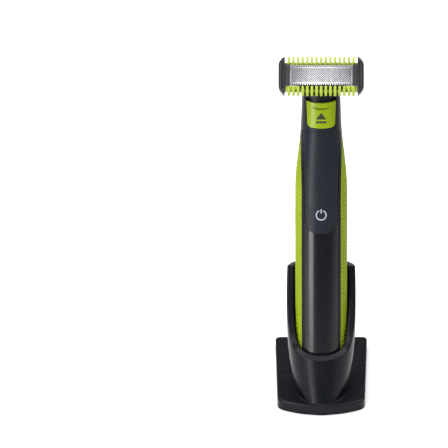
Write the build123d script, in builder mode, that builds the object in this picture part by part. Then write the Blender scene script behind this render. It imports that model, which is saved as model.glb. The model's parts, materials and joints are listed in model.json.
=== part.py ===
from build123d import *
import os
from math import cos, radians, sin

os.makedirs("parts", exist_ok=True)

# A cordless body groomer with a clip-on skin guard, standing in its storage stand.
# Every groomer piece is drawn upright in the handle's own frame: X to the right, the front
# towards -Y, +Z from the charging end to the blade. The stand and the placing of the leaning
# groomer use the table frame: origin on the table under the foot of the cup, +Z up.
# All sizes are millimetres.

# --- driving dimensions -------------------------------------------------------------------
handle_half_width = 14.1
handle_half_depth = 13.0
handle_top = 155.0          # top of the neck, from the charging end
wall = 1.8                  # thickness of the handle's shells
grip_thickness = 1.3
seam = 0.05                 # gap left at a joint between two fixed shells
clearance = 0.2             # gap left round a part that moves
panel_gap = 0.14            # above the front panel, whose back rises a little as it rocks

cap_height = 8.0            # full-round part of the bottom cap
cap_edge_radius = 2.4
socket_size = (11.4, 8.0)   # mouth of the charging socket
chin_top = 27.4             # seam between the bottom cap and the glossy front cover
tongue_end = 78.7           # rounded lower end of the front panel
tongue_top = 134.6
front_half_width = 8.9      # glossy cover and lower part of the front panel
tongue_half_width = 10.0    # front panel at its upper end
neck_front_half_top = 9.5   # and the neck's front face at the very top
panel_proud = 0.4
grip_inner_x = 10.55        # edge of the side grips, seen from the front
grip_bottom = 8.6
grip_tip = 129.4
icon_height = 89.0          # centre of the power symbol

release_bottom = 136.7
release_top = 151.4
release_travel = 2.0
release_proud = 0.7
release_half_top = 7.9
release_half_bottom = 7.4
release_corner = 2.4

head_tilt = 25.0            # the cutting face looks this far up from the handle's front
foil_width = 34.0
foil_height = 8.9
foil_thickness = 0.3
tooth_pitch = 2.466         # comb teeth of the skin guard
comb_teeth = 15
blade_pitch = tooth_pitch / 2
blade_teeth = 27
guard_half_width = 22.85
guard_half_height = 10.0
guard_thickness = 7.8

lever_pivot_z = 128.0
eccentric = 1.2
motor_y = 1.5
lever_y = -5.0              # plane of the lever's upper arm

lean = 17.0                 # the groomer leans back in its stand
plate_thickness = 6.0
floor_height = 9.5          # cup floor above the plate, along the leaning axis
cup_wall = 3.8
cup_gap = 0.85              # between the handle and the cup
arm_height = 65.7           # top of the cup's arms above the plate, along the leaning axis

# --- frames -------------------------------------------------------------------------------
cup_axis = Plane(
    origin=(0, 0, plate_thickness),
    x_dir=(1, 0, 0),
    z_dir=(0, sin(radians(lean)), cos(radians(lean))),
)
handle_frame = cup_axis.offset(floor_height + 0.1)
head = Plane(
    origin=(0, -13.0, 166.5),
    x_dir=(1, 0, 0),
    z_dir=(0, -cos(radians(head_tilt)), sin(radians(head_tilt))),
)
front = Plane.XZ            # seen from the front: x to the right, y up the handle
side = Plane.YZ             # seen from the right: x towards the back, y up the handle

# --- the handle's outer form --------------------------------------------------------------
fullness = 0.64             # how far the sections fill out towards a square (0.55: an ellipse)
neck_start = 80.0           # the section is constant below this height
# half width, half depth and centre line of the neck's sections, evenly spaced upwards
neck_step = 11.0
neck_sections = [
    (handle_half_width, handle_half_depth, 0),
    (handle_half_width, handle_half_depth, 0),
    (14.05, 12.75, -0.12),
    (13.4, 11.9, -0.5),
    (12.1, 10.8, -1.0),
    (11.05, 9.9, -1.35),
    (10.6, 9.2, -1.55),
    (10.2, 8.6, -1.65),
]


def oval(half_width, half_depth, centre=0.0):
    """Draws the handle's rounded section in the open line context, one curve a quarter."""
    a, b, k = half_width, half_depth, fullness
    for x, y in ((a, b), (-a, b), (-a, -b), (a, -b)):
        quarter = [(x, 0), (x, k * y), (k * x, y), (0, y)]
        Bezier([(px, py + centre) for px, py in quarter])


def envelope(inset=0.0):
    """The handle's form, pulled in (or pushed out) by one distance all round."""
    with BuildPart() as form:
        with BuildSketch(Plane.XY.offset(-2)):
            with BuildLine():
                oval(handle_half_width - inset, handle_half_depth - inset)
            make_face()
        extrude(amount=neck_start + 2)
        for step, (half_width, half_depth, centre) in enumerate(neck_sections):
            with BuildSketch(Plane.XY.offset(neck_start + step * neck_step)):
                with BuildLine():
                    oval(half_width - inset, half_depth - inset, centre)
                make_face()
        loft()
    return form.part


def between(low, high, size=60):
    """A wide block from one height to another, for trimming shells."""
    with BuildPart() as block:
        with BuildSketch(Plane.XY.offset(low)):
            Rectangle(size, size)
        extrude(amount=high - low)
    return block.part


def shell(outer_inset, inner_inset, low, high):
    """A full-round band of the handle's form between two insets and two heights."""
    with BuildPart() as band:
        add(skin[outer_inset])
        add(skin[inner_inset], mode=Mode.SUBTRACT)
        add(between(low, high), mode=Mode.INTERSECT)
    return band.part


def front_block(outline, depth=30, start=0.0):
    """A prism of a front-view outline, from one depth (Y) towards the front."""
    with BuildPart() as block:
        with BuildSketch(front.offset(start)):
            add(outline)
        extrude(amount=depth)
    return block.part


insets = {
    "button": -release_proud,
    "panel": -panel_proud,
    "button_icon": 0.35 - release_proud,
    "skin": 0.0,
    "icon_back": 0.3,
    "button_back": 1.2,
    "grip_back": grip_thickness,
    "panel_back": 1.4,
    "pocket": 1.5,
    "wall": wall,
    "neck_back": 2.4,
}
skin = {name: envelope(inset) for name, inset in insets.items()}


# --- front-view outlines ------------------------------------------------------------------
def tongue_outline(gap=0.0):
    """The front panel's outline: narrowing down the neck to a rounded end."""
    low, high = front_half_width + gap, tongue_half_width + gap
    shoulder = tongue_end + 10.5
    with BuildSketch() as outline:
        with BuildLine():
            Polyline((-low, shoulder), (-low, 100), (-high, tongue_top + gap))
            Line((-high, tongue_top + gap), (high, tongue_top + gap))
            Polyline((high, tongue_top + gap), (low, 100), (low, shoulder))
            Spline(
                (low, shoulder), (0, tongue_end - gap), (-low, shoulder),
                tangents=[(0, -1), (0, 1)],
            )
        make_face()
    return outline.sketch


def window_outline(low, high, half_width):
    """A plain rectangle between two heights."""
    with BuildSketch() as outline:
        with BuildLine():
            Polyline(
                (-half_width, low), (half_width, low),
                (half_width, high), (-half_width, high), close=True,
            )
        make_face()
    return outline.sketch


def release_outline(gap=0.0, travel=0.0):
    """The release slide: a sagging top edge and a rounded foot."""
    top, bottom = release_top + gap + travel, release_bottom - gap
    wide, narrow = release_half_top + gap, release_half_bottom + gap
    with BuildSketch() as outline:
        with BuildLine():
            Line((-wide, top), (-narrow, bottom + 0.9))
            ThreePointArc((-narrow, bottom + 0.9), (0, bottom), (narrow, bottom + 0.9))
            Line((narrow, bottom + 0.9), (wide, top))
            ThreePointArc((wide, top), (0, top - 0.9), (-wide, top))
        face = make_face()
        fillet(face.vertices().group_by(Axis.Y)[0], radius=release_corner + gap)
    return outline.sketch


def grip_outline(way):
    """A side grip: one long strip that narrows to a point on the neck. way is 1 for the right."""
    outside = handle_half_width + 2
    with BuildSketch() as outline:
        with BuildLine():
            Polyline(
                (way * grip_inner_x, grip_bottom), (way * outside, grip_bottom),
                (way * outside, 134), (way * 11.3, 134), (way * grip_inner_x, 104), close=True,
            )
        make_face()
    return outline.sketch


def grip_side_outline():
    """The same grip from the side: it ends in a rounded edge behind the middle."""
    back = 5.6
    with BuildSketch() as outline:
        with BuildLine():
            Line((-20, grip_bottom), (back, grip_bottom))
            Line((back, grip_bottom), (back, 88))
            Spline((back, 88), (2.6, 116), (-2.2, grip_tip), tangents=[(0, 1), (-0.5, 1)])
            Line((-2.2, grip_tip), (-20, grip_tip))
            Line((-20, grip_tip), (-20, grip_bottom))
        make_face()
    return outline.sketch


def grip_recess(way):
    """The space of one side grip, open to the outside of the handle."""
    with BuildPart() as block:
        with BuildSketch(front.offset(-30)):
            add(grip_outline(way))
        extrude(amount=60)
        with BuildSketch(side.offset(-30)):
            add(grip_side_outline())
        extrude(amount=60, mode=Mode.INTERSECT)
        add(skin["grip_back"], mode=Mode.SUBTRACT)
    return block.part


def power_outline():
    """The standby symbol: an open ring with a bar in its gap."""
    ring, stroke, bar = 2.65, 0.62, 2.6
    with BuildSketch() as outline:
        with Locations((0, icon_height)):
            Circle(ring + stroke / 2)
            Circle(ring - stroke / 2, mode=Mode.SUBTRACT)
        with Locations((0, icon_height + ring)):
            Rectangle(2.1, 3.2, mode=Mode.SUBTRACT)
        with Locations((0, icon_height + ring - 0.45)):
            SlotOverall(bar, stroke, rotation=90)
    return outline.sketch


def eject_outline():
    """A triangle over a bar."""
    middle = 142.9
    with BuildSketch() as outline:
        with BuildLine():
            Polyline((-2.8, middle - 1.2), (2.8, middle - 1.2), (0, middle + 2.4), close=True)
        make_face()
        with Locations((0, middle - 2.75)):
            Rectangle(5.6, 1.15)
    return outline.sketch


tongue_hole = front_block(tongue_outline(clearance), start=3.8)
chin_block = front_block(window_outline(cap_height, chin_top, front_half_width))
cover_block = front_block(window_outline(chin_top + seam, tongue_end + 12, front_half_width))
window_hole = front_block(window_outline(cap_height, tongue_end + 12, front_half_width + seam))
neck_low = tongue_top + panel_gap
neck_block = front_block(window_outline(neck_low, handle_top, 20), start=2)

# --- handle casings -----------------------------------------------------------------------
left_recess, right_recess = grip_recess(-1), grip_recess(1)

with BuildPart() as left_grip:
    add(skin["skin"])
    add(left_recess, mode=Mode.INTERSECT)

with BuildPart() as right_grip:
    add(skin["skin"])
    add(right_recess, mode=Mode.INTERSECT)

with BuildPart() as rear_housing:
    add(shell("skin", "wall", grip_bottom, handle_top))
    add(window_hole, mode=Mode.SUBTRACT)
    add(tongue_hole, mode=Mode.SUBTRACT)
    add(neck_block, mode=Mode.SUBTRACT)
    add(left_recess, mode=Mode.SUBTRACT)
    add(right_recess, mode=Mode.SUBTRACT)

with BuildPart() as chin:
    add(shell("skin", "wall", cap_height, chin_top))
    add(chin_block, mode=Mode.INTERSECT)

with BuildPart() as bottom_cap:
    for angle in range(0, 91, 18):          # rounded lower edge
        turn = radians(angle)
        with BuildSketch(Plane.XY.offset(cap_edge_radius * (1 - cos(turn)))):
            with BuildLine():
                inset = cap_edge_radius * (1 - sin(turn))
                oval(handle_half_width - inset, handle_half_depth - inset)
            make_face()
    loft(ruled=True)
    with BuildSketch(Plane.XY.offset(cap_edge_radius)):
        with BuildLine():
            oval(handle_half_width, handle_half_depth)
        make_face()
    extrude(amount=cap_height - cap_edge_radius)
    with BuildSketch(Plane.XY.offset(cap_edge_radius)):
        with BuildLine():
            oval(handle_half_width - wall, handle_half_depth - wall)
        make_face()
    extrude(amount=cap_height, mode=Mode.SUBTRACT)
    with BuildSketch():
        SlotOverall(*socket_size)
    extrude(amount=cap_height, mode=Mode.SUBTRACT)
    add(chin.part)

with BuildPart() as lower_front_cover:
    add(shell("skin", "wall", chin_top + seam, tongue_end + 12))
    add(cover_block, mode=Mode.INTERSECT)
    add(tongue_hole, mode=Mode.SUBTRACT)

with BuildPart() as power_icon:
    add(shell("panel", "icon_back", icon_height - 5, icon_height + 5))
    add(front_block(power_outline()), mode=Mode.INTERSECT)

with BuildPart() as front_panel:
    add(shell("panel", "panel_back", tongue_end - 1, tongue_top))
    add(front_block(tongue_outline(), start=4), mode=Mode.INTERSECT)
    add(power_icon.part, mode=Mode.SUBTRACT)

with BuildPart() as button_pocket:
    add(shell("button", "pocket", release_bottom - 1, handle_top))
    add(front_block(release_outline(clearance, release_travel)), mode=Mode.INTERSECT)

with BuildPart() as neck_front:
    # carries on the front panel's raised face up to the blade
    add(shell("panel", "pocket", neck_low, handle_top))
    with BuildSketch(front.offset(2)):
        with BuildLine():
            Polyline(
                (-tongue_half_width, neck_low), (tongue_half_width, neck_low),
                (neck_front_half_top, handle_top), (-neck_front_half_top, handle_top), close=True,
            )
        make_face()
    extrude(amount=30, mode=Mode.INTERSECT)

with BuildPart() as neck_frame:
    add(shell("skin", "neck_back", neck_low, handle_top))
    add(neck_block, mode=Mode.INTERSECT)
    add(neck_front.part)
    add(front_block(window_outline(140.0, 149.5, 2.4)), mode=Mode.SUBTRACT)
    add(button_pocket.part, mode=Mode.SUBTRACT)

# --- blade release ------------------------------------------------------------------------
notch_z = 147.7
push_tab = (4.0, 3.4)       # width and height of the tab that pushes the cartridge off

with BuildPart() as release_icon:
    add(shell("button", "button_icon", release_bottom, release_top))
    add(front_block(eject_outline()), mode=Mode.INTERSECT)

with BuildPart() as release_slide:
    add(shell("button", "button_back", release_bottom - 1, release_top + 1))
    add(front_block(release_outline()), mode=Mode.INTERSECT)
    # crescent finger notch
    with BuildSketch(front.offset(10.0)):
        with BuildLine():
            ThreePointArc((-4.9, notch_z + 0.5), (0, notch_z - 0.9), (4.9, notch_z + 0.5))
            ThreePointArc((4.9, notch_z + 0.5), (0, notch_z + 0.15), (-4.9, notch_z + 0.5))
        make_face()
    extrude(amount=5, mode=Mode.SUBTRACT)
    with BuildSketch(front.offset(6.7)):
        with Locations((0, 142.4)):
            Rectangle(*push_tab)
    extrude(amount=3.3)
    add(release_icon.part, mode=Mode.SUBTRACT)

# --- inside the handle --------------------------------------------------------------------
battery_radius, battery_length, battery_z = 7.0, 47.6, 13.8
battery_y = 2.5
motor_radius, motor_flat, motor_length, motor_z = 10.0, 7.4, 24.0, 68.6
shaft_radius = 1.0
board_front, board_back = 7.8, 6.6      # depth of the circuit board's faces
board_low, board_high = 20.0, 97.0
switch_z = icon_height
boss_z = 65.0
rail_x, rail_width = 10.2, 1.0


def crosswise(low, high, half_width, half_depth, centre):
    """A flat crosswise slab between two heights."""
    with BuildPart() as slab:
        with BuildSketch(Plane.XY.offset(low)):
            with BuildLine():
                oval(half_width, half_depth, centre)
            make_face()
        extrude(amount=high - low)
    return slab.part


with BuildPart() as inner_frame:
    # end stops of the battery and the motor plate, open at the front for the circuit board
    add(crosswise(11.0, 13.0, 11.4, 8.6, 0))
    add(crosswise(62.4, 67.6, 11.4, 8.6, 0))
    add(crosswise(93.2, 95.2, 11.4, 9.4, 0))
    add(front_block(window_outline(10, 100, 13), start=4.0), mode=Mode.SUBTRACT)
    with BuildSketch(Plane.XY.offset(93)):
        with Locations((0, motor_y)):
            Circle(5.2)
    extrude(amount=3, mode=Mode.SUBTRACT)
    # side rails along the handle, then the closer pair in the neck
    for way in (1, -1):
        with BuildSketch(Plane.XY.offset(12)):
            with Locations((way * (rail_x + rail_width / 2), 0.5)):
                Rectangle(rail_width, 7)
        extrude(amount=96)
        with BuildSketch(Plane.XY.offset(106)):
            with Locations((way * 8.3, 0.5)):
                Rectangle(5.8, 7)
        extrude(amount=3)
        with BuildSketch(Plane.XY.offset(106)):
            with Locations((way * 6.0, -1.4)):
                Rectangle(1.2, 12.2)
        extrude(amount=24.5)
    # bearing bridges of the lever's pin
    for depth in (6.3, -4.7):
        with BuildSketch(front.offset(depth)):
            with Locations((0, lever_pivot_z)):
                Rectangle(13.0, 5)
        extrude(amount=1.2)
    with BuildSketch(front.offset(-10)):
        with Locations((0, lever_pivot_z)):
            Circle(1.0)
    extrude(amount=20, mode=Mode.SUBTRACT)
    # pillars for the circuit board
    with BuildSketch(front.offset(3.5)):
        with Locations((-6, boss_z), (6, boss_z)):
            Circle(2.2)
    extrude(amount=board_back - 3.5)
    with BuildSketch(front.offset(0.7)):
        with Locations((-6, boss_z), (6, boss_z)):
            Circle(0.85)
    extrude(amount=board_front, mode=Mode.SUBTRACT)

with BuildPart() as battery_cell:
    with BuildSketch(Plane.XY.offset(battery_z)):
        with Locations((0, battery_y)):
            Circle(battery_radius)
    extrude(amount=battery_length)
    fillet(battery_cell.edges().filter_by(GeomType.CIRCLE), radius=0.6)

with BuildPart() as battery_contacts:
    for height in (13.0, battery_z + battery_length):
        with BuildSketch(Plane.XY.offset(height)):
            with Locations((0, battery_y)):
                RectangleRounded(8.0, 6.0, 1.0)
        extrude(amount=0.8)

with BuildPart() as motor_can:
    with BuildSketch(Plane.XY.offset(motor_z)):
        with Locations((0, motor_y)):
            Circle(motor_radius)
            Rectangle(2 * motor_radius, 2 * motor_flat, mode=Mode.INTERSECT)
    extrude(amount=motor_length)
    fillet(motor_can.edges().group_by(Axis.Z)[-1], radius=0.8)
    with BuildSketch(Plane.XY.offset(motor_z + motor_length)):
        with Locations((0, motor_y)):
            Circle(3.0)
    extrude(amount=1.6)
    with BuildSketch(Plane.XY.offset(motor_z + 2)):
        with Locations((0, motor_y)):
            Circle(shaft_radius + 0.05)
    extrude(amount=motor_length, mode=Mode.SUBTRACT)

with BuildPart() as motor_shaft:
    with BuildSketch(Plane.XY.offset(motor_z + 2.2)):
        with Locations((0, motor_y)):
            Circle(shaft_radius)
    extrude(amount=25.4)

with BuildPart() as eccentric_cam:
    with BuildSketch(Plane.XY.offset(96.2)):
        with Locations((0, motor_y)):
            Circle(3.4)
    extrude(amount=2.6)
    with BuildSketch(Plane.XY.offset(98.8)):
        with Locations((0, motor_y - eccentric)):
            Circle(0.75)
    extrude(amount=4.0)
    fillet(eccentric_cam.edges().group_by(Axis.Z)[-1], radius=0.3)
    add(motor_shaft.part, mode=Mode.SUBTRACT)

fork_half = 0.75 + 2 * eccentric + 0.25
with BuildPart() as drive_lever:
    # fork round the eccentric pin, open towards the motor
    with BuildSketch(front.offset(-motor_y - 1.1)):
        with BuildLine():
            Polyline(
                (-fork_half - 1.3, 100.0), (-fork_half, 100.0), (-fork_half, 103.6),
                (fork_half, 103.6), (fork_half, 100.0), (fork_half + 1.3, 100.0),
                (fork_half + 1.3, 105.2), (1.7, 109.0), (1.7, lever_pivot_z),
                (-1.7, lever_pivot_z), (-1.7, 109.0), (-fork_half - 1.3, 105.2), close=True,
            )
        make_face()
    extrude(amount=2.2)
    # hub on the pivot pin
    with BuildSketch(front.offset(-3.1)):
        with Locations((0, lever_pivot_z)):
            Circle(2.9)
    extrude(amount=9.2)
    # upper arm and drive tip
    with BuildSketch(front.offset(-lever_y - 1.1)):
        with BuildLine():
            Polyline(
                (-1.7, lever_pivot_z), (1.7, lever_pivot_z), (1.4, 157.2),
                (-1.4, 157.2), close=True,
            )
        make_face()
    extrude(amount=2.2)
    with BuildSketch(Plane.XY.offset(157.0)):
        with Locations((0, lever_y)):
            Circle(1.0)
    extrude(amount=4.2)
    fillet(drive_lever.edges().group_by(Axis.Z)[-1], radius=0.35)
    with BuildSketch(front.offset(-10)):
        with Locations((0, lever_pivot_z)):
            Circle(1.05)
    extrude(amount=20, mode=Mode.SUBTRACT)

with BuildPart() as lever_pin:
    with BuildSketch(front.offset(-4.6)):
        with Locations((0, lever_pivot_z)):
            Circle(1.0)
    extrude(amount=12.0)
    chamfer(lever_pin.edges().filter_by(GeomType.CIRCLE), length=0.2)

with BuildPart() as circuit_board:
    with BuildSketch(front.offset(board_back)):
        with Locations((0, (board_low + board_high) / 2)):
            RectangleRounded(16.6, board_high - board_low, 1.5)
        with Locations((-6, boss_z), (6, boss_z)):
            Circle(1.0, mode=Mode.SUBTRACT)
    extrude(amount=board_front - board_back)

with BuildPart() as housing_screws:
    for way in (-1, 1):
        with BuildSketch(front.offset(board_front)):
            with Locations((way * 6, boss_z)):
                Circle(1.7)
        extrude(amount=0.9)
        with BuildSketch(front.offset(board_front)):
            with Locations((way * 6, boss_z)):
                Circle(0.85)
        extrude(amount=-7)
    fillet(
        housing_screws.edges().filter_by(GeomType.CIRCLE).group_by(Axis.Y)[0], radius=0.3,
    )

with BuildPart() as tact_switch:
    with BuildSketch(front.offset(board_front)):
        with Locations((0, switch_z)):
            RectangleRounded(6.0, 6.0, 0.5)
    extrude(amount=2.4)
    with BuildSketch(front.offset(board_front + 2.4)):
        with Locations((0, switch_z)):
            Circle(1.75)
    extrude(amount=0.75)

with BuildPart() as status_led:
    with BuildSketch(front.offset(board_front)):
        with Locations((0, 82.6)):
            RectangleRounded(3.0, 1.6, 0.3)
    extrude(amount=1.1)
    fillet(status_led.faces().sort_by(Axis.Y)[0].edges(), radius=0.25)

with BuildPart() as charging_socket:
    with BuildSketch():
        SlotOverall(socket_size[0] - 0.04, socket_size[1] - 0.04)
    extrude(amount=9.5)
    with BuildSketch():
        SlotOverall(socket_size[0] - 2.0, socket_size[1] - 2.0)
    extrude(amount=7.5, mode=Mode.SUBTRACT)
    with BuildSketch(Plane.XY.offset(7)):
        with Locations((-2, 0), (2, 0)):
            Circle(0.8)
    extrude(amount=3, mode=Mode.SUBTRACT)

with BuildPart() as charging_pins:
    with BuildSketch(Plane.XY.offset(2.4)):
        with Locations((-2, 0), (2, 0)):
            Circle(0.8)
    extrude(amount=8.0)
    fillet(charging_pins.edges().group_by(Axis.Z)[0], radius=0.4)

with BuildPart() as seal_ring:
    with BuildSketch(Plane.XY.offset(cap_height)):
        with BuildLine():
            oval(handle_half_width - 0.9, handle_half_depth - 0.9)
        make_face()
        with BuildLine():
            oval(handle_half_width - wall, handle_half_depth - wall)
        make_face(mode=Mode.SUBTRACT)
    extrude(amount=grip_bottom - cap_height)
    add(chin.part, mode=Mode.SUBTRACT)

with BuildPart() as blade_socket:
    with BuildSketch(Plane.XY.offset(152.2)):
        with BuildLine():
            oval(8.3, 6.7, -1.6)
        make_face()
    extrude(amount=2.4)
    with BuildSketch(Plane.XY.offset(150)):
        with Locations((0, -5.4)):
            Rectangle(8.5, 6.3)
    extrude(amount=6, mode=Mode.SUBTRACT)
    add(neck_frame.part, mode=Mode.SUBTRACT)

# --- blade cartridge ----------------------------------------------------------------------
# In the head's own plane X runs along the foil, Y across it and Z out of its face.
block_half_height = 4.2
block_back = 6.5
rim_drop = 0.75             # long rims of the base below the foil's face
spring_room = 5.0
carrier_size = (25.6, 5.8)
cutter_size = (29.2, 8.6)
stem_size = (8.0, 4.4)
stem_y = -4.75
tip_radius = 1.0
cartridge_foot = handle_top + 0.3


def comb_plate(width, height, thickness, teeth, top):
    """A thin plate with fine teeth along both long edges, in the head's plane."""
    tooth_width, tooth_length = 0.62, 1.1
    with BuildPart() as plate:
        with BuildSketch(head.offset(top - thickness)):
            Rectangle(width, height)
            for way in (1, -1):
                with Locations((0, way * (height / 2 + tooth_length / 2 - 0.15))):
                    with GridLocations(blade_pitch, 1, teeth, 1):
                        RectangleRounded(tooth_width, tooth_length + 0.3, 0.25)
        extrude(amount=thickness)
    return plate.part


with BuildPart() as blade_base:
    # block under the foil
    with BuildSketch(head.offset(-block_back)):
        RectangleRounded(foil_width, 2 * block_half_height, 1.0)
    extrude(amount=block_back - foil_thickness)
    # flange behind the foil's teeth
    with BuildSketch(head.offset(-2.6)):
        RectangleRounded(foil_width, 10.5, 1.0)
    extrude(amount=1.5)
    # tapering back down to the neck
    with BuildSketch(Plane.XY.offset(cartridge_foot)):
        with Locations((0, -3.2)):
            RectangleRounded(18.6, 11.6, 3.0)
    with BuildSketch(head.offset(-block_back + 0.5)):
        RectangleRounded(30.0, 2 * block_half_height, 1.0)
    loft()
    # stem that plugs into the neck
    with BuildSketch(Plane.XY.offset(146.2)):
        with Locations((0, stem_y)):
            RectangleRounded(*stem_size, 0.5)
    extrude(amount=12)
    # beds of the cutter and its carrier
    with BuildSketch(head.offset(-rim_drop)):
        Rectangle(32.4, 12)
    extrude(amount=2, mode=Mode.SUBTRACT)
    with BuildSketch(head.offset(-spring_room)):
        Rectangle(29.2, 6.4)
    extrude(amount=6, mode=Mode.SUBTRACT)
    # room for the drive tip and the fork of the carrier
    with BuildSketch(head.offset(-11.8)):
        with Locations((0, -2.2)):
            Rectangle(8.2, 3.4)
    extrude(amount=8.8, mode=Mode.SUBTRACT)
    with BuildSketch(Plane.XY.offset(146)):
        with Locations((0, lever_y)):
            Rectangle(6.4, 2.8)
    extrude(amount=16, mode=Mode.SUBTRACT)

foil = comb_plate(foil_width, foil_height, foil_thickness, blade_teeth, 0)
cutter = comb_plate(*cutter_size, 0.3, 23, -0.35)

with BuildPart() as cutter_carrier:
    with BuildSketch(head.offset(-3.2)):
        RectangleRounded(*carrier_size, 1.0)
    extrude(amount=3.2 - 0.65)
    # fork that straddles the drive tip
    with BuildSketch(head.offset(-11.0)):
        with Locations((0, -2.2)):
            Rectangle(2 * (tip_radius + 1.3), 2.4)
            Rectangle(2 * (tip_radius + 0.1), 2.4, mode=Mode.SUBTRACT)
    extrude(amount=7.9)

head_side = Plane(origin=head.origin, x_dir=head.x_dir, z_dir=-head.y_dir)
with BuildPart() as cutter_spring:
    # bowed leaf that lifts the carrier against the foil
    with BuildSketch(head_side.offset(-2.8)):
        with BuildLine():
            ThreePointArc((-9.0, -4.95), (0, -3.3), (9.0, -4.95))
            Line((9.0, -4.95), (8.2, -4.95))
            ThreePointArc((8.2, -4.95), (0, -3.6), (-8.2, -4.95))
            Line((-8.2, -4.95), (-9.0, -4.95))
        make_face()
    extrude(amount=1.2)

end_cap_width = 1.3
with BuildPart() as right_end_cap:
    with BuildSketch(head.offset(-6.2)):
        with Locations((foil_width / 2 + end_cap_width / 2, 0)):
            RectangleRounded(end_cap_width, 9.4, 0.5)
    extrude(amount=6.1)

with BuildPart() as left_end_cap:
    mirror(right_end_cap.part, about=Plane.YZ)

# --- skin guard ---------------------------------------------------------------------------
bracket_inner_x = 19.4
bracket_top_x, bracket_flat = 20.2, 5.6
guard_back = -guard_thickness + 0.8
lug_inner_x = 17.2
upper_tooth, lower_tooth = 1.25, 1.45
web_half, web_height = 1.1, 2.1
comb_half_span = bracket_inner_x

with BuildPart() as right_guard_bracket:
    with BuildSketch(head.offset(guard_back)):
        with BuildLine():
            Line((bracket_inner_x, -guard_half_height), (bracket_inner_x, guard_half_height))
            Line((bracket_inner_x, guard_half_height), (bracket_top_x, guard_half_height))
            Spline(
                (bracket_top_x, guard_half_height), (22.0, 8.0), (guard_half_width, bracket_flat),
                tangents=[(1, -0.75), (0, -1)],
            )
            Line((guard_half_width, bracket_flat), (guard_half_width, -bracket_flat))
            Spline(
                (guard_half_width, -bracket_flat), (22.0, -8.0),
                (bracket_top_x, -guard_half_height), tangents=[(0, -1), (-1, -0.75)],
            )
            Line((bracket_top_x, -guard_half_height), (bracket_inner_x, -guard_half_height))
        make_face()
    extrude(amount=guard_thickness)
    rim = right_guard_bracket.faces().sort_by(Axis(head.origin, head.z_dir))[-1].edges()
    chamfer(rim.sort_by(Axis.X)[1:], length=0.9)
    # lug over the end of the cartridge
    with BuildSketch(head.offset(0.15)):
        with Locations(((lug_inner_x + bracket_inner_x) / 2, 0)):
            RectangleRounded(bracket_inner_x - lug_inner_x + 1.0, 11.7, 0.4)
    extrude(amount=0.5)
    # grooves along the bracket leave two ridges
    with BuildSketch(head.offset(0.2)):
        with Locations((20.65, 0)):
            RectangleRounded(0.55, 15.0, 0.25)
    extrude(amount=2, mode=Mode.SUBTRACT)
    with BuildSketch(head.offset(0.4)):
        with Locations((19.25, 0)):
            RectangleRounded(0.6, 13.0, 0.25)
    extrude(amount=2, mode=Mode.SUBTRACT)

with BuildPart() as left_guard_bracket:
    mirror(right_guard_bracket.part, about=Plane.YZ)


head_profile = Plane(origin=head.origin, x_dir=head.y_dir, z_dir=head.x_dir)


def comb(way, root, tip, rail, tooth_back, width, corners):
    """A comb between the brackets. way is 1 above the foil and -1 below it."""
    rail_low, rail_high, rail_back, rail_front = rail
    with BuildPart() as piece:
        for index in range(comb_teeth):
            middle = (index - (comb_teeth - 1) / 2) * tooth_pitch
            with BuildSketch(head_profile.offset(middle - width / 2)):
                with BuildLine():
                    Line((way * root, tooth_back), (way * root, -0.25))
                    ThreePointArc(
                        (way * root, -0.25), (way * (root + 0.5), 0.45), (way * (root + 1.4), 0.8),
                    )
                    Line((way * (root + 1.4), 0.8), (way * (tip - 1.4), 0.8))
                    ThreePointArc(
                        (way * (tip - 1.4), 0.8), (way * (tip - 0.3), 0.2), (way * tip, -0.9),
                    )
                    Line((way * tip, -0.9), (way * (tip - 0.3), tooth_back + 0.6))
                    Line((way * (tip - 0.3), tooth_back + 0.6), (way * (tip - 1.6), tooth_back))
                    Line((way * (tip - 1.6), tooth_back), (way * root, tooth_back))
                make_face()
            extrude(amount=width)
        with BuildSketch(head_profile.offset(-comb_half_span)):
            with BuildLine():
                Polyline(
                    (way * rail_low, rail_back), (way * rail_high, rail_back),
                    (way * rail_high, rail_front), (way * rail_low, rail_front), close=True,
                )
            make_face()
        extrude(amount=2 * comb_half_span)
        if corners:
            # solid corners at both ends
            for side_way in (1, -1):
                with BuildSketch(head.offset(-2.6)):
                    with BuildLine():
                        Polyline(
                            (side_way * 11.5, way * root), (side_way * comb_half_span, way * root),
                            (side_way * comb_half_span, way * 8.6),
                            (side_way * 14.2, way * 8.4), close=True,
                        )
                    make_face()
                extrude(amount=2.4)
        else:
            # webs that widen the teeth towards their roots
            for index in range(comb_teeth):
                middle = (index - (comb_teeth - 1) / 2) * tooth_pitch
                with BuildSketch(head.offset(-3.2)):
                    with BuildLine():
                        Polyline(
                            (middle - web_half, way * root), (middle + web_half, way * root),
                            (middle + width / 2, way * (root + web_height)),
                            (middle - width / 2, way * (root + web_height)), close=True,
                        )
                    make_face()
                extrude(amount=2.6)
    return piece.part


upper_comb = comb(1, 5.75, 10.1, (5.75, 7.0, -3.4, -1.2), -3.4, upper_tooth, False)
lower_comb = comb(-1, 5.75, 11.0, (7.2, 8.6, -4.4, -2.4), -4.4, lower_tooth, True)

# --- storage stand ------------------------------------------------------------------------
plate_front, plate_back = -22.0, 45.9
front_bulge = 6.4
front_half, back_half = 23.7, 25.3
front_corner, leg_corner = 5.0, 2.6
leg_width = 11.0
notch_half, notch_y = 5.0, 21.0
foot_fillet, rim_fillet = 0.6, 0.7
rim_low = 18.0              # every edge above this height belongs to the cup's rim
cup_half_width = handle_half_width + cup_gap + cup_wall
cup_half_depth = handle_half_depth + cup_gap + cup_wall
cup_taper, depth_taper, foot_forward, taper_height = 4.3, 1.0, 2.2, 45.0
cup_side = Plane(origin=cup_axis.origin, x_dir=cup_axis.y_dir, z_dir=cup_axis.x_dir)

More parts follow.
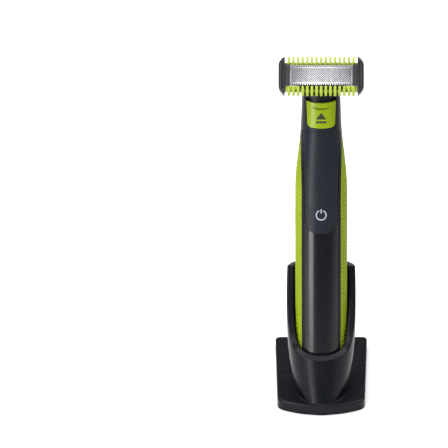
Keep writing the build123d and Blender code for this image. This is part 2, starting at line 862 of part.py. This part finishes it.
with BuildPart() as cup:
    for height in range(-12, 73, 14):
        towards_foot = max(0.0, 1 - height / taper_height) ** 2.5
        with BuildSketch(cup_axis.offset(height)):
            with BuildLine():
                oval(
                    cup_half_width - cup_taper * towards_foot,
                    cup_half_depth - depth_taper * towards_foot,
                    -foot_forward * towards_foot,
                )
            make_face()
    loft()
    # level arm tops, and a front that sweeps down from them to a low rim
    with BuildSketch(cup_side.offset(-30)):
        with BuildLine():
            Spline(
                (-20.5, 16.4), (-17.9, 18.2), (-13.85, 20.9), (-11.0, 23.6), (-8.4, 28.1),
                (-6.4, 33.5), (-1.4, 49), (3.6, arm_height),
            )
            Polyline(
                (3.6, arm_height), (30, arm_height), (30, 80), (-30, 80), (-30, 16.4),
                (-20.5, 16.4),
            )
        make_face()
    extrude(amount=60, mode=Mode.SUBTRACT)

with BuildPart() as stand:
    with BuildSketch() as foot:
        with BuildLine():
            chord = plate_front + front_bulge
            ThreePointArc((-front_half, chord), (0, plate_front), (front_half, chord))
            Polyline(
                (front_half, chord), (back_half, plate_back), (back_half - leg_width, plate_back),
                (notch_half, notch_y), (-notch_half, notch_y),
                (leg_width - back_half, plate_back), (-back_half, plate_back),
                (-front_half, chord),
            )
        make_face()
        fillet(foot.vertices().group_by(Axis.Y)[0], radius=front_corner)
        fillet(foot.vertices().filter_by_position(Axis.Y, 10, 50), radius=leg_corner)
    extrude(amount=plate_thickness)
    fillet(stand.edges().group_by(Axis.Z)[-1], radius=0.8)
    add(cup.part)
    with BuildSketch():
        Rectangle(200, 200)
    extrude(amount=-30, mode=Mode.SUBTRACT)
    on_plate = stand.edges().filter_by_position(Axis.Z, plate_thickness, plate_thickness)
    fillet(on_plate.filter_by(GeomType.BSPLINE).sort_by(SortBy.LENGTH)[-1], radius=foot_fillet)
    # the handle's place, and the charging plug's well under it
    with BuildSketch(cup_axis.offset(floor_height)):
        with BuildLine():
            oval(handle_half_width + cup_gap, handle_half_depth + cup_gap)
        make_face()
    extrude(amount=80, mode=Mode.SUBTRACT)
    with BuildSketch(cup_axis.offset(floor_height)):
        with Locations((0, 1.6)):
            RectangleRounded(14.0, 10.0, 2.0)
    extrude(amount=-11.5, mode=Mode.SUBTRACT)
    # cable way out of the back of the foot
    with BuildSketch(Plane.XZ):
        with Locations((0, 4.5)):
            RectangleRounded(7.4, 4.8, 1.2)
    extrude(amount=-34, mode=Mode.SUBTRACT)
    rim = [edge for edge in stand.edges() if edge.bounding_box().min.Z > rim_low]
    fillet(rim, radius=rim_fillet)

# --- files --------------------------------------------------------------------------------
handle_pieces = {
    "rear_housing": rear_housing.part,
    "front_panel": front_panel.part,
    "power_icon": power_icon.part,
    "lower_front_cover": lower_front_cover.part,
    "neck_frame": neck_frame.part,
    "bottom_cap": bottom_cap.part,
    "left_grip": left_grip.part,
    "right_grip": right_grip.part,
    "release_slide": release_slide.part,
    "release_icon": release_icon.part,
    "inner_frame": inner_frame.part,
    "battery_cell": battery_cell.part,
    "battery_contacts": battery_contacts.part,
    "motor_can": motor_can.part,
    "motor_shaft": motor_shaft.part,
    "eccentric_cam": eccentric_cam.part,
    "drive_lever": drive_lever.part,
    "lever_pin": lever_pin.part,
    "circuit_board": circuit_board.part,
    "housing_screws": housing_screws.part,
    "tact_switch": tact_switch.part,
    "status_led": status_led.part,
    "charging_socket": charging_socket.part,
    "charging_pins": charging_pins.part,
    "seal_ring": seal_ring.part,
    "blade_socket": blade_socket.part,
    "blade_base": blade_base.part,
    "foil": foil,
    "cutter": cutter,
    "cutter_carrier": cutter_carrier.part,
    "cutter_spring": cutter_spring.part,
    "left_end_cap": left_end_cap.part,
    "right_end_cap": right_end_cap.part,
    "left_guard_bracket": left_guard_bracket.part,
    "right_guard_bracket": right_guard_bracket.part,
    "upper_comb": upper_comb,
    "lower_comb": lower_comb,
}
for name, piece in handle_pieces.items():
    placed = piece.moved(handle_frame.location)
    placed.label = name
    export_step(placed, f"parts/{name}.step")

stand.part.label = "stand"
export_step(stand.part, "parts/stand.step")
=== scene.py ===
import json
import math

import bmesh
import bpy
from mathutils import Matrix, Vector
from mathutils.bvhtree import BVHTree


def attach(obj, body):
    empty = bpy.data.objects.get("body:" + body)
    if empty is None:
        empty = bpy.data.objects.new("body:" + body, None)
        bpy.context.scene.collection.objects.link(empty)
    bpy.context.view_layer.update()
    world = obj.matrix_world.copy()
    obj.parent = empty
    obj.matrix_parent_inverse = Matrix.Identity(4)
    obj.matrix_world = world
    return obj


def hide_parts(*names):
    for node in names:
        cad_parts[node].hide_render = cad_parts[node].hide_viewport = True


# The looks of the body groomer in its stand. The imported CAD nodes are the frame; the pieces
# made here replace the few whose surface needs more than a solid: the perforated foil, the
# ribbed grips, and the moulded comb guard. Everything is in metres; MM turns millimetres.

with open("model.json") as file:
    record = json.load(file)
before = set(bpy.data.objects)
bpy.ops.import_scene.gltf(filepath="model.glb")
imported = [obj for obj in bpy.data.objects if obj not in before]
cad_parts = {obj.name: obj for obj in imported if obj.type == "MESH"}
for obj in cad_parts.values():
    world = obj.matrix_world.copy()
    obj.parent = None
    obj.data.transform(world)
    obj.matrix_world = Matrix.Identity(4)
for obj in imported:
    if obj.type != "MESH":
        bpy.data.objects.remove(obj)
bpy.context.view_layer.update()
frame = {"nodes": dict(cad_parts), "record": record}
nodes = frame["nodes"]
MM = 0.001

# --- frames -------------------------------------------------------------------------------
LEAN, HEAD_TILT = math.radians(17.0), math.radians(25.0)
FOOT, PLATE = 9.6, 6.0      # start of the handle above the stand's plate, along the lean


def turned(angle, origin):
    """A frame with its own Z leaning back by an angle from +Z, about X."""
    c, s = math.cos(angle), math.sin(angle)
    return Matrix(
        ((1, 0, 0, origin[0]), (0, c, s, origin[1]), (0, -s, c, origin[2]), (0, 0, 0, 1))
    )


HANDLE = turned(LEAN, (0, FOOT * math.sin(LEAN), PLATE + FOOT * math.cos(LEAN)))
# the head's frame: X along the foil, Y across it, Z out of its face
HEAD = HANDLE @ turned(HEAD_TILT - math.pi / 2, (0, -13.0, 166.5))


def placed(matrix, x, y, z):
    """A point in metres from millimetres in one of the frames."""
    return (matrix @ Vector((x, y, z))) * MM


# --- materials ----------------------------------------------------------------------------
TONE_SCALE, WEAR_AND_SHEEN_SCALE, SCUFF_SCALE, WAVE_SCALE = 38, 520, 240, 90
BRUSH_SCALE, CLOUD_SCALE = 2400, 120
END_SHADE_FROM, END_SHADE_TO = 6, 17           # millimetres from the middle where the steel's painted shade starts, and where it is full
PLASTIC_SHINE = 0.17


def shade(colour, factor):
    """A colour made darker or lighter, with its alpha."""
    return tuple(min(1.0, c * factor) for c in colour) + (1.0,)


class Look:
    """One procedural material: its node tree and a few ways to grow it."""

    def __init__(self, name, metallic=0.0, **inputs):
        self.material = bpy.data.materials.new(name)
        self.material.use_nodes = True
        self.tree = self.material.node_tree
        self.shader = self.tree.nodes["Principled BSDF"]
        self.shader.inputs["Metallic"].default_value = metallic
        if not metallic:
            self.shader.inputs["Specular IOR Level"].default_value = PLASTIC_SHINE
        for key, value in inputs.items():
            self.shader.inputs[key.replace("_", " ")].default_value = value
        self.place = self.node("ShaderNodeTexCoord").outputs["Object"]
        self.normal = None

    def node(self, kind, **settings):
        """A new shader node with its settings."""
        made = self.tree.nodes.new(kind)
        for key, value in settings.items():
            setattr(made, key, value)
        return made

    def link(self, out, into):
        """Joins an output to an input."""
        self.tree.links.new(out, into)

    def noise(self, scale, detail=3.0, roughness=0.55, stretch=None):
        """Noise through the object's own space, optionally stretched along the handle."""
        made = self.node("ShaderNodeTexNoise")
        made.inputs["Scale"].default_value = scale
        made.inputs["Detail"].default_value = detail
        made.inputs["Roughness"].default_value = roughness
        place = self.place
        if stretch:
            mapping = self.node("ShaderNodeMapping")
            mapping.inputs["Rotation"].default_value = (LEAN, 0, 0)
            mapping.inputs["Scale"].default_value = stretch
            self.link(place, mapping.inputs["Vector"])
            place = mapping.outputs["Vector"]
        self.link(place, made.inputs["Vector"])
        return made.outputs["Fac"]

    def spread(self, value, low, high, start=0.3, end=0.7):
        """A value taken from one range to another."""
        made = self.node("ShaderNodeMapRange")
        made.inputs["From Min"].default_value = start
        made.inputs["From Max"].default_value = end
        made.inputs["To Min"].default_value = low
        made.inputs["To Max"].default_value = high
        self.link(value, made.inputs["Value"])
        return made.outputs["Result"]

    def mix(self, factor, first, second):
        """A blend of two colours, each a tuple or an output."""
        made = self.node("ShaderNodeMix", data_type="RGBA")
        self.link(factor, made.inputs[0])
        for socket, value in ((made.inputs[6], first), (made.inputs[7], second)):
            if isinstance(value, tuple):
                socket.default_value = value
            else:
                self.link(value, socket)
        return made.outputs[2]

    def edges(self, radius):
        """Rounded shading at sharp edges, and a mask of where they are."""
        bevel = self.node("ShaderNodeBevel", samples=4)
        bevel.inputs["Radius"].default_value = radius
        self.normal = bevel.outputs["Normal"]
        plain = self.node("ShaderNodeNewGeometry").outputs["Normal"]
        dot = self.node("ShaderNodeVectorMath", operation="DOT_PRODUCT")
        self.link(self.normal, dot.inputs[0])
        self.link(plain, dot.inputs[1])
        return self.spread(dot.outputs["Value"], 1.0, 0.0, 0.80, 0.995)

    def bump(self, height, strength, distance):
        """Adds relief on top of the normal so far."""
        made = self.node("ShaderNodeBump")
        made.inputs["Strength"].default_value = strength
        made.inputs["Distance"].default_value = distance
        self.link(height, made.inputs["Height"])
        if self.normal:
            self.link(self.normal, made.inputs["Normal"])
        self.normal = made.outputs["Normal"]

    def finish(self, colour, roughness):
        """Wires up the shader and gives back the material."""
        self.link(colour, self.shader.inputs["Base Color"])
        self.link(roughness, self.shader.inputs["Roughness"])
        if self.normal:
            self.link(self.normal, self.shader.inputs["Normal"])
        return self.material


def plastic(name, colour, roughness, grain=2600, depth=0.02, vary=0.12, wear_and_sheen=0.35, edge=0.25,
            scuffs=0.06, **inputs):
    """Moulded plastic: drifting tone, fine grain, faint scuffs, and patchy edges painted lighter
    as wear and painted highlight.
    """
    look = Look(name, **inputs)
    # edge mask: edges are painted lighter, partly as real wear and partly as painted highlight
    # where light catches them
    edge_wear_and_highlight = look.edges(edge * MM)
    tone = look.mix(look.spread(look.noise(TONE_SCALE, 4), 0, 1), shade(colour, 1 - vary),
                    shade(colour, 1 + vary))
    patchy = look.spread(look.noise(WEAR_AND_SHEEN_SCALE, 2), 0.0, wear_and_sheen, 0.35, 0.75)
    both = look.node("ShaderNodeMath", operation="MULTIPLY")
    look.link(edge_wear_and_highlight, both.inputs[0])
    look.link(patchy, both.inputs[1])
    # the lighter colour on the edges is part wear, part painted highlight
    worn_and_highlit_colour = tuple(min(1.0, c * 1.25 + 0.05) for c in colour) + (1.0,)
    worn_and_highlit = look.mix(both.outputs[0], tone, worn_and_highlit_colour)
    streaks = look.noise(SCUFF_SCALE, 3, 0.6, stretch=(1.0, 1.0, 0.3))
    rough = look.spread(streaks, roughness - scuffs / 2, roughness + scuffs, 0.35, 0.7)
    look.bump(look.noise(grain, 2), 0.5, depth * MM)
    look.bump(look.noise(WAVE_SCALE, 2), 0.2, 0.02 * MM)
    return look.finish(worn_and_highlit, rough)


def steel(name, colour, roughness, along=(0.08, 1.0, 1.0), depth=0.004, edge=0.12, ends=0):
    """Brushed or ground steel: fine streaks, cloudiness, painted highlights on its edges and
    painted shade towards its far ends.
    """
    look = Look(name, metallic=1.0)
    streaks = look.noise(BRUSH_SCALE, 4, 0.65, stretch=along)
    bright = look.mix(look.spread(streaks, 0, 1), shade(colour, 0.86), shade(colour, 1.1))
    # painted highlight: the steel's edges are made lighter
    if edge:
        bright = look.mix(look.edges(edge * MM), bright, shade(colour, 1.25))
    # painted shade: the colour darkens towards the far ends along X, standing in for light
    # falling off
    if ends:
        apart = look.node("ShaderNodeSeparateXYZ")
        look.link(look.place, apart.inputs[0])
        side = look.node("ShaderNodeMath", operation="ABSOLUTE")
        look.link(apart.outputs["X"], side.inputs[0])
        end_shade = look.spread(side.outputs[0], 0.0, ends, END_SHADE_FROM * MM, END_SHADE_TO * MM)
        bright = look.mix(end_shade, bright, shade(colour, 0.25))
    cloud = look.spread(look.noise(CLOUD_SCALE, 3), roughness - 0.05, roughness + 0.07)
    look.bump(streaks, 0.4, depth * MM)
    return look.finish(bright, cloud)


LIME = (0.24, 0.325, 0.009)
LOOKS = {
    "stand_plastic": plastic("stand_plastic", (0.0032, 0.0042, 0.0068), 0.30, grain=1500,
                             depth=0.012, edge=0.5, wear_and_sheen=0.1),
    "housing_plastic": plastic("housing_plastic", (0.006, 0.0065, 0.0085), 0.36, depth=0.010,
                               wear_and_sheen=0.1),
    "panel_satin": plastic("panel_satin", (0.0135, 0.0155, 0.022), 0.32, depth=0.008, edge=0.35,
                           wear_and_sheen=0.15),
    "cover_gloss": plastic("cover_gloss", (0.004, 0.0045, 0.007), 0.24, depth=0.002, scuffs=0.05,
                           edge=0.3, Coat_Weight=0.5, Coat_Roughness=0.14),
    "light_pipe": plastic("light_pipe", (0.40, 0.43, 0.47), 0.35, vary=0.05, edge=0.1,
                          Subsurface_Weight=0.1, Subsurface_Scale=0.001),
    "grip_rubber": plastic("grip_rubber", LIME, 0.50, grain=3200, depth=0.02, vary=0.08,
                           wear_and_sheen=0.15),
    "lime_plastic": plastic("lime_plastic", LIME, 0.30, depth=0.012, vary=0.06,
                            edge=0.3, Coat_Weight=0.25, Coat_Roughness=0.12),
    "comb_plastic": plastic("comb_plastic", (0.33, 0.41, 0.045), 0.30, depth=0.01, vary=0.06,
                            wear_and_sheen=0.3, Subsurface_Weight=0.12, Subsurface_Scale=0.0008),
    "icon_dark": plastic("icon_dark", (0.035, 0.045, 0.022), 0.45, vary=0.15, edge=0.1),
    "frame_plastic": plastic("frame_plastic", (0.20, 0.21, 0.22), 0.5),
    "battery_case": plastic("battery_case", (0.06, 0.18, 0.34), 0.3, Coat_Weight=0.4),
    "contact_brass": steel("contact_brass", (0.78, 0.60, 0.28), 0.3),
    "motor_steel": steel("motor_steel", (0.60, 0.61, 0.63), 0.28),
    "lever_plastic": plastic("lever_plastic", (0.78, 0.78, 0.75), 0.4, vary=0.04),
    "board_green": plastic("board_green", (0.015, 0.14, 0.05), 0.3, vary=0.2),
    "cartridge_black": plastic("cartridge_black", (0.009, 0.010, 0.012), 0.38),
    "seal_rubber": plastic("seal_rubber", (0.012, 0.012, 0.012), 0.65),
    # the foil takes painted shade towards its far ends
    "foil_steel": steel("foil_steel", (0.60, 0.61, 0.63), 0.34, edge=0, ends=0.85),
    # painted shade: the cutter under the foil is near-black steel so the foil's holes read dark
    "cutter_steel": steel("cutter_steel", (0.045, 0.048, 0.055), 0.55),
    "bracket_plastic": plastic("bracket_plastic", (0.030, 0.030, 0.033), 0.32, depth=0.015,
                               edge=0.4),
}

for row in frame["record"]["subparts"]:
    node = nodes[row["node"]]
    node.data.materials.clear()
    node.data.materials.append(LOOKS[row["material_slot"]])


# --- mesh helpers -------------------------------------------------------------------------
def new_piece(name, vertices, faces, body, slot, *replaced):
    """A mesh piece in the row frame that rides on a body and takes the look of a slot."""
    mesh = bpy.data.meshes.new(name)
    mesh.from_pydata(vertices, [], faces)
    mesh.validate()
    piece = bpy.data.objects.new(name, mesh)
    bpy.context.scene.collection.objects.link(piece)
    mesh.materials.append(LOOKS[slot])
    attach(piece, body)
    if replaced:
        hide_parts(*replaced)
    return piece


def apply_modifiers(piece):
    """Turns the piece's modifiers into its mesh."""
    evaluated = piece.evaluated_get(bpy.context.evaluated_depsgraph_get())
    baked = bpy.data.meshes.new_from_object(evaluated)
    piece.modifiers.clear()
    piece.data = baked


def outward(piece):
    """Makes the mesh's faces point outwards and shades it smooth."""
    bm = bmesh.new()
    bm.from_mesh(piece.data)
    bmesh.ops.recalc_face_normals(bm, faces=bm.faces)
    bm.to_mesh(piece.data)
    bm.free()
    for polygon in piece.data.polygons:
        polygon.use_smooth = True


def moulded(node_name, body, slot, voxel, smoothing, rounds):
    """A CAD node's solid with its hard edges rounded off like a moulding."""
    source = nodes[node_name]
    vertices = [tuple(v.co) for v in source.data.vertices]
    faces = [tuple(p.vertices) for p in source.data.polygons]
    piece = new_piece(node_name + ".moulded", vertices, faces, body, slot, node_name)
    weld = piece.modifiers.new("weld", "WELD")
    weld.merge_threshold = 0.00001
    remesh = piece.modifiers.new("remesh", "REMESH")
    remesh.mode = "VOXEL"
    remesh.voxel_size = voxel * MM
    remesh.use_smooth_shade = True
    smooth = piece.modifiers.new("smooth", "SMOOTH")
    smooth.factor = smoothing
    smooth.iterations = rounds
    apply_modifiers(piece)


# --- ribbed grips -------------------------------------------------------------------------
GRIP_BOTTOM, GRIP_TIP = 8.65, 129.3
GRIP_STEP, GRIP_COLUMNS, GRIP_DEPTH = 0.36, 42, 1.0
RIB_PITCH, RIB_DEPTH, ZIGZAG_WIDTH, ZIGZAG_RISE = 2.3, 0.5, 3.1, 1.3
EDGE_ROUNDING = 0.55
RIB_MARGIN, RIB_FADE = 0.7, 0.5      # plain border round the ribs, and where they fade in
GRIP_AXIS_Y = -1.0
RAY_START, RAY_REACH = 40, 45        # how far out a ray starts, and how far it looks
CROWDING = 0.12                      # how much closer the columns stand near the edges
FACING = 0.55                        # least cosine between a ray and the outside it meets
FIRST_ANGLE, ANGLE_STEP, ANGLE_COUNT = -75, 1.5, 90
JUST_OUTSIDE, HALVINGS = 0.03, 14    # search for the exact edge of a grip


def outer_point(tree, way, height, angle):
    """Where a ray from outside, level in the handle, meets the outside of a grip."""
    direction = Vector((way * math.cos(angle), math.sin(angle), 0))
    start = Vector((0, GRIP_AXIS_Y, height)) + direction * RAY_START
    inward = (HANDLE.to_3x3() @ -direction).normalized()
    hit, normal, _, _ = tree.ray_cast(HANDLE @ start * MM, inward, RAY_REACH * MM)
    if hit is None or normal.dot(-inward) < FACING:
        return None
    return hit


def grip_span(tree, way, height):
    """The angles between which a ray meets the grip at one height."""
    steps = [math.radians(FIRST_ANGLE + ANGLE_STEP * i) for i in range(ANGLE_COUNT)]
    hits = [a for a in steps if outer_point(tree, way, height, a)]
    if len(hits) < 2:
        return None
    span = []
    first, last = hits[0], hits[-1]
    for edge, outside in ((first, first - JUST_OUTSIDE), (last, last + JUST_OUTSIDE)):
        for _ in range(HALVINGS):
            middle = (edge + outside) / 2
            if outer_point(tree, way, height, middle):
                edge = middle
            else:
                outside = middle
        span.append(edge)
    return span


def rib(across, height):
    """How far the surface sinks between the zigzag ribs."""
    fold = abs((across / ZIGZAG_WIDTH) % 1.0 - 0.5) * 2
    wave = math.cos(2 * math.pi * (height + ZIGZAG_RISE * fold) / RIB_PITCH)
    return RIB_DEPTH * (0.5 - 0.5 * max(-1.0, min(1.0, 1.5 * wave)))


def ribbed_grip(name, way):
    """A side grip with zigzag ribs and rounded edges. way is 1 for the right."""
    source = nodes[name]
    tree = BVHTree.FromPolygons(
        [v.co.copy() for v in source.data.vertices],
        [tuple(p.vertices) for p in source.data.polygons],
    )
    count = int((GRIP_TIP - GRIP_BOTTOM) / GRIP_STEP)
    rows = []
    low = 0.5 - 0.5 * math.cos(math.pi * CROWDING)
    for index in range(count + 1):
        height = GRIP_BOTTOM + (GRIP_TIP - GRIP_BOTTOM) * index / count
        span = grip_span(tree, way, height)
        if span is None:
            continue
        first, last = span
        points = []
        for column in range(GRIP_COLUMNS + 1):
            turn = CROWDING + (1 - 2 * CROWDING) * column / GRIP_COLUMNS
            share = (0.5 - 0.5 * math.cos(math.pi * turn) - low) / (1 - 2 * low)
            point = outer_point(tree, way, height, first + (last - first) * share)
            points.append(point or (points[-1] if points else None))
        if points[0] is None:
            continue
        rows.append((height, points))
    vertices, inner = [], []
    for height, points in rows:
        lengths = [0.0]
        for a, b in zip(points, points[1:]):
            lengths.append(lengths[-1] + (b - a).length / MM)
        total = lengths[-1]
        ends = min(height - GRIP_BOTTOM, 1.4 * (GRIP_TIP - height))
        centre = placed(HANDLE, 0, GRIP_AXIS_Y, height)
        for point, along in zip(points, lengths):
            rim = max(0.0, min(along, total - along, ends))
            inset = max(0.0, EDGE_ROUNDING - rim)
            sunk = EDGE_ROUNDING - math.sqrt(max(0.0, EDGE_ROUNDING**2 - inset**2))
            fade = max(0.0, min(1.0, (rim - RIB_MARGIN) / RIB_FADE))
            depth = sunk + fade * rib(along - total / 2, height)
            towards = (centre - point).normalized()
            vertices.append(point + towards * depth * MM)
            inner.append(point + towards * (GRIP_DEPTH + 0.15) * MM)
    offset = len(vertices)
    wide = GRIP_COLUMNS + 1
    faces = []
    for row in range(len(rows) - 1):
        for column in range(GRIP_COLUMNS):
            a = row * wide + column
            quad = (a, a + 1, a + wide + 1, a + wide)
            faces.append(quad)
            faces.append(tuple(offset + v for v in reversed(quad)))
        for column in (0, GRIP_COLUMNS):
            a = row * wide + column
            faces.append((a, a + wide, offset + a + wide, offset + a))
    for row in (0, len(rows) - 1):
        for column in range(GRIP_COLUMNS):
            a = row * wide + column
            faces.append((a, a + 1, offset + a + 1, offset + a))
    piece = new_piece(name + ".ribbed", vertices + inner, faces, "handle", "grip_rubber", name)
    outward(piece)


ribbed_grip("left_grip", -1)
ribbed_grip("right_grip", 1)

# --- perforated foil ----------------------------------------------------------------------
FOIL_HALF, FOIL_DEPTH = (17.0, 4.45), 0.14
HOLE_PITCH = (1.3, 1.17)
HOLE_SHARE = 0.72
MESH_HALF = (16.4, 4.1)
BLADE_PITCH, BLADE_TEETH, TOOTH_LENGTH = 1.233, 27, 0.95
TOOTH_OUTLINE = ((-0.31, 0), (-0.30, 0.45), (-0.22, 0.8), (-0.1, TOOTH_LENGTH),
                 (0.1, TOOTH_LENGTH), (0.22, 0.8), (0.30, 0.45), (0.31, 0))


def foil_height(x, y):
    """The foil's gentle crown, in its own plane."""
    return -0.02 - 0.10 * (y / FOIL_HALF[1]) ** 2 - 0.16 * (x / FOIL_HALF[0]) ** 2


def foil_piece():
    """The foil: a diamond mesh in a plain border, with blade teeth along both long edges."""
    vertices, flat, faces, known = [], [], [], {}

    def corner(x, y):
        """The number of the mesh corner at a place, made the first time it is asked for."""
        key = (round(x, 4), round(y, 4))
        if key not in known:
            known[key] = len(vertices)
            flat.append((x, y))
            vertices.append(placed(HEAD, x, y, foil_height(x, y)))
        return known[key]

    def facing_out(face):
        """The face with its corners in the order that faces out of the head."""
        pairs = zip(face, face[1:] + face[:1])
        area = sum(flat[a][0] * flat[b][1] - flat[b][0] * flat[a][1] for a, b in pairs)
        return face if area > 0 else face[::-1]

    half_x, half_y = HOLE_PITCH[0] / 2, HOLE_PITCH[1] / 2
    across, up = round(MESH_HALF[0] / half_x), round(MESH_HALF[1] / half_y)
    for i in range(-across, across + 1):
        for j in range(-up, up + 1):
            if (i + j) % 2:
                continue
            x, y = i * half_x, j * half_y
            rim = [(x + half_x, y), (x, y + half_y), (x - half_x, y), (x, y - half_y)]
            rim = [p for p in rim if abs(p[0]) <= across * half_x + 1e-6
                   and abs(p[1]) <= up * half_y + 1e-6]
            if len(rim) == 4:
                hole = [(x + (px - x) * HOLE_SHARE, y + (py - y) * HOLE_SHARE) for px, py in rim]
                for k in range(4):
                    n = (k + 1) % 4
                    faces.append([corner(*rim[k]), corner(*rim[n]), corner(*hole[n]),
                                  corner(*hole[k])])
            elif len(rim) == 3:
                faces.append([corner(*p) for p in rim])
    # plain border round the mesh, matched to the outermost points of its cells
    edge_x, edge_y = across * half_x, up * half_y
    xs = [i * half_x for i in range(-across, across + 1) if (i + up) % 2]
    ys = [j * half_y for j in range(-up, up + 1) if (j + across) % 2]
    for way in (1, -1):
        line = [-edge_x] + xs + [edge_x]
        line = sorted(set(round(v, 4) for v in line))
        for a, b in zip(line, line[1:]):
            faces.append([corner(a, way * edge_y), corner(b, way * edge_y),
                          corner(b, way * FOIL_HALF[1]), corner(a, way * FOIL_HALF[1])])
        column = sorted(set(round(v, 4) for v in [-edge_y] + ys + [edge_y]))
        column = [-FOIL_HALF[1]] + column + [FOIL_HALF[1]]
        for a, b in zip(column, column[1:]):
            faces.append([corner(way * edge_x, a), corner(way * edge_x, b),
                          corner(way * FOIL_HALF[0], b), corner(way * FOIL_HALF[0], a)])
    # a tapered blade tooth at each place along both long edges
    for way in (1, -1):
        for index in range(BLADE_TEETH):
            x = (index - (BLADE_TEETH - 1) / 2) * BLADE_PITCH
            faces.append([corner(x + dx, way * (FOIL_HALF[1] + dy)) for dx, dy in TOOTH_OUTLINE])
    faces = [facing_out(face) for face in faces]
    piece = new_piece("foil.perforated", vertices, faces, "cartridge", "foil_steel", "foil")
    solid = piece.modifiers.new("solid", "SOLIDIFY")
    solid.thickness = FOIL_DEPTH * MM
    solid.offset = -1.0
    apply_modifiers(piece)
    for polygon in piece.data.polygons:
        polygon.use_smooth = False


foil_piece()

# --- moulded guard ------------------------------------------------------------------------
SMOOTHING = 0.5
for name in ("upper_comb", "lower_comb"):
    moulded(name, "guard", "comb_plastic", 0.14, SMOOTHING, 4)
for name in ("left_guard_bracket", "right_guard_bracket"):
    moulded(name, "guard", "bracket_plastic", 0.15, SMOOTHING, 3)

# --- floor, light and camera --------------------------------------------------------------
FLOOR_SIZE = 6.0
floor_mesh = bpy.data.meshes.new("floor")
floor_mesh.from_pydata(
    [(-FLOOR_SIZE, -FLOOR_SIZE, 0), (FLOOR_SIZE, -FLOOR_SIZE, 0), (FLOOR_SIZE, FLOOR_SIZE, 0),
     (-FLOOR_SIZE, FLOOR_SIZE, 0)], [], [(0, 1, 2, 3)])
floor = bpy.data.objects.new("floor", floor_mesh)
bpy.context.scene.collection.objects.link(floor)
floor_look = Look("floor_paper")
floor_tone = floor_look.mix(floor_look.noise(4, 2), (0.93, 0.93, 0.93, 1), (0.95, 0.95, 0.95, 1))
floor.data.materials.append(
    floor_look.finish(floor_tone, floor_look.spread(floor_look.noise(12, 2), 0.6, 0.75)))

world = bpy.data.worlds.new("studio")
bpy.context.scene.world = world
world.use_nodes = True
world.node_tree.nodes["Background"].inputs["Color"].default_value = (0.95, 0.97, 1.0, 1)
world.node_tree.nodes["Background"].inputs["Strength"].default_value = 0.06

MIDDLE = Vector((0, 0.02, 0.09))


def soft_light(name, place, size, power):
    """A white rectangular light that faces the middle of the object."""
    data = bpy.data.lights.new(name, "AREA")
    data.shape = "RECTANGLE"
    data.size, data.size_y = size
    data.energy = power
    light = bpy.data.objects.new(name, data)
    light.location = place
    light.rotation_mode = "QUATERNION"
    light.rotation_quaternion = (MIDDLE - Vector(place)).to_track_quat("-Z", "Y")
    bpy.context.scene.collection.objects.link(light)


soft_light("overhead", (0.0, 0.45, 1.5), (2.4, 1.6), 50)
soft_light("key", (-0.8, -0.9, 0.95), (0.4, 0.4), 9)
soft_light("front", (0.0, -0.85, 1.15), (0.22, 0.30), 2.5)
soft_light("strip_left", (-0.50, -0.80, 0.26), (0.30, 0.60), 4.5)
soft_light("fill", (1.1, -0.25, 0.6), (0.3, 0.5), 0.7)

OFF_CENTRE = 0.21696        # the object stands this share of the frame's width to the right
ELEVATION = math.radians(32.6)
DISTANCE = 3.0
VIEW_WIDTH = 0.2419          # metres across the frame at the aim point
AIM = Vector((0, 0.025, 0.0929))

camera_data = bpy.data.cameras.new("camera")
camera = bpy.data.objects.new("camera", camera_data)
bpy.context.scene.collection.objects.link(camera)
back = Vector((0, -math.cos(ELEVATION), math.sin(ELEVATION)))
camera.location = AIM + back * DISTANCE
camera.rotation_mode = "QUATERNION"
camera.rotation_quaternion = (-back).to_track_quat("-Z", "Y")
camera_data.sensor_width = 36
camera_data.lens = 36 * DISTANCE / VIEW_WIDTH
camera_data.shift_x = -OFF_CENTRE
camera_data.clip_start = 0.05
bpy.context.scene.camera = camera
bpy.context.scene.view_settings.view_transform = "Standard"
